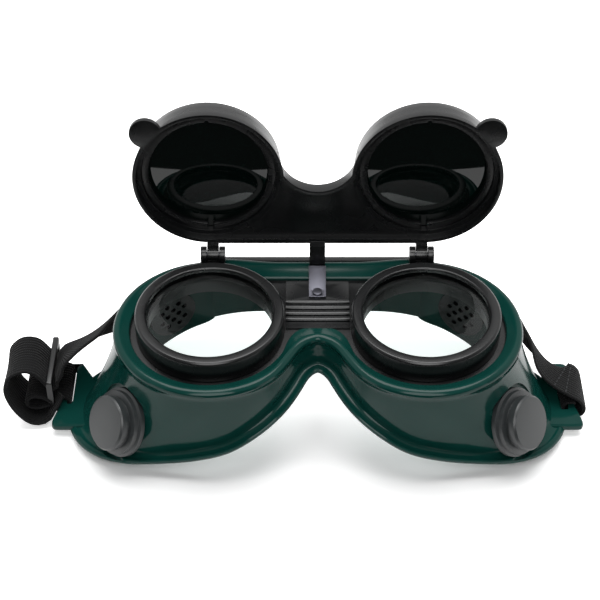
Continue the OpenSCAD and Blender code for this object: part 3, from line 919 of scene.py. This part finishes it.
@dataclass
class Strap:
    """Ribbed elastic webbing with its slack loop, links and stitching."""

    palette: Palette
    width: float = 20.0
    thick: float = 1.5
    ribs: int = 15
    rib_deep: float = 0.22
    sew_step: float = 2.4
    thread_r: float = 0.28
    link_x: float = -101.0
    sewn_at: tuple = ((97.6, 3.2, 10.8), (95.6, 4.2, 11.6))

    def section(self) -> np.ndarray:
        """Cross-section of the webbing, ribs on both faces.

        Returns:
            Rows of across and up, in mm, round the section.
        """
        n = self.ribs * 6
        u = np.linspace(-1, 1, n + 1)
        wave = self.rib_deep * (0.5 + 0.5 * np.cos(math.pi * self.ribs * (u + 1)))
        edge = np.sqrt(np.clip(1 - np.abs(u) ** 24, 0, 1))
        top = (self.thick / 2 - wave) * np.maximum(edge, 0.35)
        up = np.stack([u * self.width / 2, top], 1)
        down = np.stack([u[::-1] * self.width / 2, -top[::-1]], 1)
        return np.concatenate([up, down])

    def band(self, name: str, route: list, closed: bool = False, step: float = 1.0,
             width: float = 1.0) -> bpy.types.Object:
        """Sweeps the webbing along a route.

        Args:
            name: The piece's name.
            route: Rows of x, y, z and the width's direction, in mm.
            closed: Whether the route joins up.
            step: Spacing of the stations in mm.
            width: Share of the full width.

        Returns:
            The swept band, with UVs in mm.
        """
        line = even(curve_through(route, 16), step)
        mid, side = line[:, :3], line[:, 3:6]
        tangent = np.gradient(mid, axis=0)
        if closed:
            tangent[0] = tangent[-1] = mid[1] - mid[-2]
        tangent /= np.linalg.norm(tangent, axis=1)[:, None]
        side = side - (side * tangent).sum(1)[:, None] * tangent
        side /= np.linalg.norm(side, axis=1)[:, None]
        up = np.cross(tangent, side)
        sec = self.section() * np.array([width, 1.0])
        m, n = len(sec), len(mid)
        if closed:
            n -= 1
        pts = (mid[:n, None] + sec[None, :, :1] * side[:n, None]
               + sec[None, :, 1:] * up[:n, None]).reshape(-1, 3)
        faces = []
        spans = n if closed else n - 1
        for i in range(spans):
            j = (i + 1) % n
            for k in range(m):
                q = (k + 1) % m
                faces.append([i * m + k, i * m + q, j * m + q, j * m + k])
        if not closed:
            faces.append(list(range(m)))
            faces.append([(n - 1) * m + k for k in range(m)][::-1])
        piece = mesh_object(name, pts * MM, faces, self.palette.strap)
        run = np.r_[0, np.cumsum(np.linalg.norm(np.diff(mid, axis=0), axis=1))]
        uv = piece.data.uv_layers.new(name="cloth")
        loops = np.empty(len(piece.data.loops), int)
        piece.data.loops.foreach_get("vertex_index", loops)
        flat = np.stack([sec[loops % m, 0], run[loops // m]], 1)
        uv.data.foreach_set("uv", flat.ravel())
        face_outward(piece)
        return piece

    def stitch_tree(self) -> bpy.types.NodeTree:
        """Node group that lays short stitches along a line of edges.

        Returns:
            The geometry node group, with Step, Size and Thread inputs.
        """
        tree = bpy.data.node_groups.get("stitches")
        if tree:
            return tree
        tree = bpy.data.node_groups.new("stitches", "GeometryNodeTree")
        tree.interface.new_socket("Geometry", in_out="INPUT", socket_type="NodeSocketGeometry")
        for label, value in (("Step", 0.0024), ("Size", 0.0003)):
            made = tree.interface.new_socket(label, in_out="INPUT", socket_type="NodeSocketFloat")
            made.default_value = value
        tree.interface.new_socket("Thread", in_out="INPUT", socket_type="NodeSocketMaterial")
        tree.interface.new_socket("Geometry", in_out="OUTPUT", socket_type="NodeSocketGeometry")
        start = add_node(tree, "NodeGroupInput")
        line = add_node(tree, "GeometryNodeMeshToCurve", {}, {"Mesh": start.outputs["Geometry"]})
        even_line = add_node(tree, "GeometryNodeResampleCurve", {"mode": "LENGTH"},
                             {"Curve": line.outputs["Curve"], "Length": start.outputs["Step"]})
        points = add_node(tree, "GeometryNodeCurveToPoints", {"mode": "EVALUATED"},
                          {"Curve": even_line.outputs["Curve"]})
        ball = add_node(tree, "GeometryNodeMeshUVSphere",
                        {"in:Segments": 12, "in:Rings": 8}, {"Radius": start.outputs["Size"]})
        long = add_node(tree, "GeometryNodeTransform", {"in:Scale": (0.9, 0.9, 3.1)},
                        {"Geometry": ball.outputs["Mesh"]})
        laid = add_node(tree, "GeometryNodeInstanceOnPoints", {},
                        {"Points": points.outputs["Points"], "Instance": long.outputs["Geometry"],
                         "Rotation": points.outputs["Rotation"]})
        real = add_node(tree, "GeometryNodeRealizeInstances", {},
                        {"Geometry": laid.outputs["Instances"]})
        coat = add_node(tree, "GeometryNodeSetMaterial", {},
                        {"Geometry": real.outputs["Geometry"],
                         "Material": start.outputs["Thread"]})
        add_node(tree, "NodeGroupOutput", {}, {"Geometry": coat.outputs["Geometry"]})
        return tree

    def stitches(self, name: str, line: np.ndarray) -> bpy.types.Object:
        """Sews a row of stitches along a line.

        Args:
            name: The piece's name.
            line: Points in mm.

        Returns:
            The stitched piece.
        """
        seed = mesh_object(name, line * MM, [], self.palette.thread)
        seed.data.clear_geometry()
        seed.data.from_pydata([tuple(map(float, v * MM)) for v in line],
                              [(i, i + 1) for i in range(len(line) - 1)], [])
        sew = seed.modifiers.new("sew", "NODES")
        sew.node_group = self.stitch_tree()
        sockets = {s.name: s.identifier for s in sew.node_group.interface.items_tree
                   if s.item_type == "SOCKET" and s.in_out == "INPUT"}
        sew[sockets["Step"]] = self.sew_step * MM
        sew[sockets["Size"]] = self.thread_r * MM
        sew[sockets["Thread"]] = self.palette.thread
        bake(seed)
        seed.data.polygons.foreach_set("use_smooth", [True] * len(seed.data.polygons))
        return seed

    def row(self, route: list, near: tuple, face: float) -> np.ndarray:
        """Line straight across the webbing, just on one of its faces.

        Args:
            route: The band's route.
            near: Point in mm; the row crosses at the nearest station.
            face: 1 or -1, the face that is sewn.

        Returns:
            Points in mm.
        """
        line = even(curve_through(route, 16), 1.0)
        i = int(np.argmin(np.linalg.norm(line[:, :3] - np.array(near), axis=1)))
        tangent = line[i + 1, :3] - line[i - 1, :3]
        tangent /= np.linalg.norm(tangent)
        side = line[i, 3:6] - (line[i, 3:6] @ tangent) * tangent
        side /= np.linalg.norm(side)
        lift = np.cross(tangent, side) * face * (self.thick / 2 - 0.05)
        share = np.linspace(-1, 1, 25)[:, None] * (self.width / 2 - 1.2)
        return line[i, :3] + share * side + lift

    def main_route(self) -> list:
        """Route from the slide buckle, up and over its slack loop and round the back.

        Returns:
            Rows of x, y, z and the width's direction, in mm.
        """
        return [
            (-101.9, 1.5, 6.6, 0, 1, 0), (-104.2, -0.8, 4.4, 0, 1, 0),
            (-107.6, -3.2, 2.4, 0, 1, 0), (-111.8, -3.6, 3.8, 0, 1, 0),
            (-116.4, -2.8, 9.6, 0, 1, 0), (-118.9, -1.2, 16.4, 0, 1, 0),
            (-117.6, 0.6, 22.0, 0, 1, 0), (-113.2, 2.0, 24.6, 0, 1, 0),
            (-108.4, 2.9, 23.2, 0, 1, 0), (-105.2, 3.3, 18.6, 0, 1, 0),
            (-102.9, 3.7, 14.3, 0, 1, 0), (-100.8, 4.6, 16.2, 0, 1, 0),
            (-98.0, 7.2, 19.6, 0, 0.96, -0.28), (-93.6, 12.0, 21.0, 0, 0.9, -0.44),
            (-88.0, 20.0, 19.4, 0, 0.78, -0.62), (-81.0, 31.0, 16.3, 0, 0.6, -0.8),
            (-76.0, 39.5, 13.2, 0, 0.42, -0.9), (-70.5, 48.0, 11.2, 0, 0.2, -0.98),
            (-62.0, 54.0, 11.0, 0, 0.1, -1), (-45.0, 58.0, 10.9, 0, 0, -1),
            (-20.0, 59.5, 10.9, 0, 0, -1), (20.0, 59.5, 10.9, 0, 0, -1),
            (45.0, 58.0, 10.9, 0, 0, -1), (62.0, 54.0, 10.9, 0, 0.1, -1),
            (70.5, 47.5, 10.9, 0, 0.2, -0.98), (76.0, 40.0, 11.6, 0, 0.45, -0.9),
            (80.5, 32.0, 12.6, 0, 0.6, -0.8), (84.4, 22.5, 13.0, 0, 0.72, -0.69),
            (88.4, 13.5, 12.6, 0, 0.84, -0.5), (92.6, 6.2, 12.2, 0, 0.95, -0.22),
            (97.4, 3.2, 10.9, 0, 1, -0.05), (101.4, 2.6, 8.6, 0, 1, 0),
            (103.6, 2.4, 4.9, 0, 1, 0), (102.8, 2.3, 1.5, 0, 1, 0),
            (99.4, 2.3, 0.9, 0, 1, 0), (96.0, 2.4, 1.4, 0, 1, 0),
            (95.3, 2.4, 4.2, 0, 1, 0), (96.4, 2.5, 7.4, 0, 1, 0), (99.6, 2.6, 7.9, 0, 1, 0)]

    def link_route(self) -> list:
        """Flattened ring of webbing that ties the buckle to the left lug.

        Returns:
            Rows of x, y, z and the width's direction, in mm.
        """
        ring = ((4.6, 3.9), (3.6, 6.9), (0, 7.6), (-3.2, 6.6), (-4.1, 3.9), (-3.0, 1.1),
                (0, 0.9), (3.6, 1.1), (4.6, 3.9))
        return [(self.link_x + x, 5.5, z, 0, 1, 0) for x, z in ring]

    def tail_route(self) -> list:
        """Short free tail of the strap, curled inside the slack loop.

        Returns:
            Rows of x, y, z and the width's direction, in mm.
        """
        curl = ((-103.4, 2.0, 9.4), (-106.2, 1.6, 11.6), (-109.6, 1.2, 12.2), (-112.0, 1.0, 10.2),
                (-111.4, 1.0, 7.4), (-108.2, 1.2, 6.4), (-104.6, 1.6, 7.2))
        return [(*point, 0, 1, 0) for point in curl]

    def build(self, frame: dict) -> None:
        """Makes the strap, its link to the left lug and its sewn rows.
        """
        main = self.band("strap_band", self.main_route())
        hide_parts("strap", "strap_end_right")
        loop = self.band("strap_link", self.link_route(), closed=True, step=0.6)
        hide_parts("strap_link_left")
        end = self.band("strap_tail", self.tail_route())
        sewn = [self.stitches(f"strap_stitch_{n}", self.row(self.main_route(), near, face))
                for n, (near, face) in enumerate(product(self.sewn_at, (1, -1)))]
        for piece in (main, loop, end, *sewn):
            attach(piece, "mask")
            log.info("%s: %d faces", piece.name, len(piece.data.polygons))


@dataclass
class Buckle:
    """Three-bar slide buckle with rounded bars."""

    palette: Palette
    edge: float = 0.7

    def build(self, frame: dict) -> None:
        """Finishes the CAD buckle.
        """
        Hardware(self.palette).finish(frame["nodes"]["slide_buckle"],
                                      self.palette.black_plastic, self.edge)


@dataclass(frozen=True)
class Lamp:
    """Soft area lamp: place and size in metres, power in watts."""

    name: str
    place: tuple
    size: tuple
    power: float
    shape: str = "RECTANGLE"


@dataclass
class Studio:
    """Pale floor, soft lights, pale surroundings and the camera."""

    target: tuple = (-6.7, 0.0, 55.6)
    rise_deg: float = 42.8
    reach: float = 600.0
    lens: float = 97.3
    front_edge: float = -0.108
    paper: tuple = (0.9, 0.92)
    # y in metres over which the floor's camera-only glow rises, so that it turns plain white to the
    # eye: painted light over the goggles' shadow
    painted_glow_over: tuple = (-0.03, 0.012)
    # share of the way back over which the surroundings go from dim to pale
    pale_over: tuple = (-0.75, 0.25)
    dim: float = 0.04
    pale: float = 0.8
    aim_height: float = 0.04
    lamps: tuple = (Lamp("overhead", (0.0, 0.3, 1.5), (1.4, 1.0), 24),
                    Lamp("front", (0.0, -1.04, 1.12), (0.98, 0.98), 10, "DISK"))
    # half width and depth of the floor in metres
    floor_size: tuple = (4.0, 5.0)

    def floor(self) -> None:
        """Lays the pale floor; behind the goggles it glows plain white to the eye, painted light
        that washes out the shadow there.
        """
        mat = bpy.data.materials.new("paper_white")
        mat.use_nodes = True
        tree = mat.node_tree
        tree.nodes.clear()
        place = add_node(tree, "ShaderNodeTexCoord")
        grain = add_node(tree, "ShaderNodeTexNoise", {"in:Scale": 8.0},
                         {"Vector": place.outputs["Object"]})
        tone = add_node(tree, "ShaderNodeMix",
                        {"data_type": "RGBA", "in:6": (*[self.paper[0]] * 3, 1),
                         "in:7": (*[self.paper[1]] * 3, 1)}, {0: grain.outputs["Fac"]})
        paper = add_node(tree, "ShaderNodeBsdfDiffuse", {}, {"Color": tone.outputs[2]})
        parts = add_node(tree, "ShaderNodeSeparateXYZ", {}, {0: place.outputs["Object"]})
        back = add_node(tree, "ShaderNodeMapRange",
                        {"interpolation_type": "SMOOTHSTEP",
                         "in:From Min": self.painted_glow_over[0], "in:From Max": self.painted_glow_over[1],
                         "in:To Min": 0.0, "in:To Max": 1.0}, {"Value": parts.outputs["Y"]})
        eye = add_node(tree, "ShaderNodeLightPath")
        seen = add_node(tree, "ShaderNodeMath", {"operation": "MULTIPLY"},
                        {0: back.outputs["Result"], 1: eye.outputs["Is Camera Ray"]})
        # painted light: emission seen only by the camera, strongest behind the goggles, where it
        # lifts the shaded floor to white
        glow = add_node(tree, "ShaderNodeEmission", {}, {"Strength": seen.outputs[0]})
        both = add_node(tree, "ShaderNodeAddShader", {},
                        {0: paper.outputs["BSDF"], 1: glow.outputs["Emission"]})
        add_node(tree, "ShaderNodeOutputMaterial", {}, {"Surface": both.outputs["Shader"]})
        half, deep = self.floor_size
        pts = np.array([(-half, self.front_edge, 0), (half, self.front_edge, 0),
                        (half, deep, 0), (-half, deep, 0)], float)
        floor = mesh_object("floor", pts, [[0, 1, 2, 3]], mat, False)

    def hang(self, lamp: Lamp) -> None:
        """Hangs one lamp, aimed at the object.

        Args:
            lamp: Which lamp.
        """
        data = bpy.data.lights.new(lamp.name, "AREA")
        data.shape = lamp.shape
        data.size, data.size_y = lamp.size
        data.energy = lamp.power
        hung = bpy.data.objects.new(lamp.name, data)
        bpy.context.scene.collection.objects.link(hung)
        hung.location = lamp.place
        aim = Vector((0, 0, self.aim_height)) - Vector(lamp.place)
        hung.rotation_mode = "QUATERNION"
        hung.rotation_quaternion = aim.to_track_quat("-Z", "Y")

    def world(self) -> None:
        """Pale surroundings that fall off to dark on the viewer's side, and plain white behind."""
        world = bpy.data.worlds.new("studio")
        bpy.context.scene.world = world
        world.use_nodes = True
        tree = world.node_tree
        tree.nodes.clear()
        place = add_node(tree, "ShaderNodeTexCoord")
        parts = add_node(tree, "ShaderNodeSeparateXYZ", {}, {0: place.outputs["Generated"]})
        fall = add_node(tree, "ShaderNodeMapRange",
                        {"interpolation_type": "SMOOTHSTEP",
                         "in:From Min": self.pale_over[0], "in:From Max": self.pale_over[1],
                         "in:To Min": self.dim, "in:To Max": self.pale},
                        {"Value": parts.outputs["Y"]})
        eye = add_node(tree, "ShaderNodeLightPath")
        level = add_node(tree, "ShaderNodeMath", {"operation": "MAXIMUM"},
                         {0: fall.outputs["Result"], 1: eye.outputs["Is Camera Ray"]})
        back = add_node(tree, "ShaderNodeBackground", {"in:Color": (1, 1, 1, 1)},
                        {"Strength": level.outputs[0]})
        add_node(tree, "ShaderNodeOutputWorld", {}, {"Surface": back.outputs["Background"]})

    def camera(self) -> None:
        """Sets the camera at the viewing angle."""
        data = bpy.data.cameras.new("camera")
        data.lens = self.lens
        data.sensor_width = 36.0
        data.clip_start, data.clip_end = 0.01, 50
        cam = bpy.data.objects.new("camera", data)
        bpy.context.scene.collection.objects.link(cam)
        e = math.radians(self.rise_deg)
        t = Vector(self.target) * MM
        back = Vector((0, -math.cos(e), math.sin(e)))
        cam.location = t + back * self.reach * MM
        cam.rotation_mode = "QUATERNION"
        cam.rotation_quaternion = (-back).to_track_quat("-Z", "Y")
        bpy.context.scene.camera = cam

    def build(self) -> None:
        """Makes the whole set."""
        self.floor()
        self.world()
        for lamp in self.lamps:
            self.hang(lamp)
        self.camera()
        bpy.context.scene.view_settings.view_transform = "Standard"


def main() -> None:
    """Builds the goggles and their set."""
    logging.basicConfig(level=logging.INFO, format="%(name)s: %(message)s")
    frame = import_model()
    palette = Palette()
    Hardware(palette).build(frame)
    Mask(palette).build(frame)
    Strap(palette).build(frame)
    Buckle(palette).build(frame)
    Studio().build()
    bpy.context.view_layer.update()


if __name__ == "__main__":
    main()
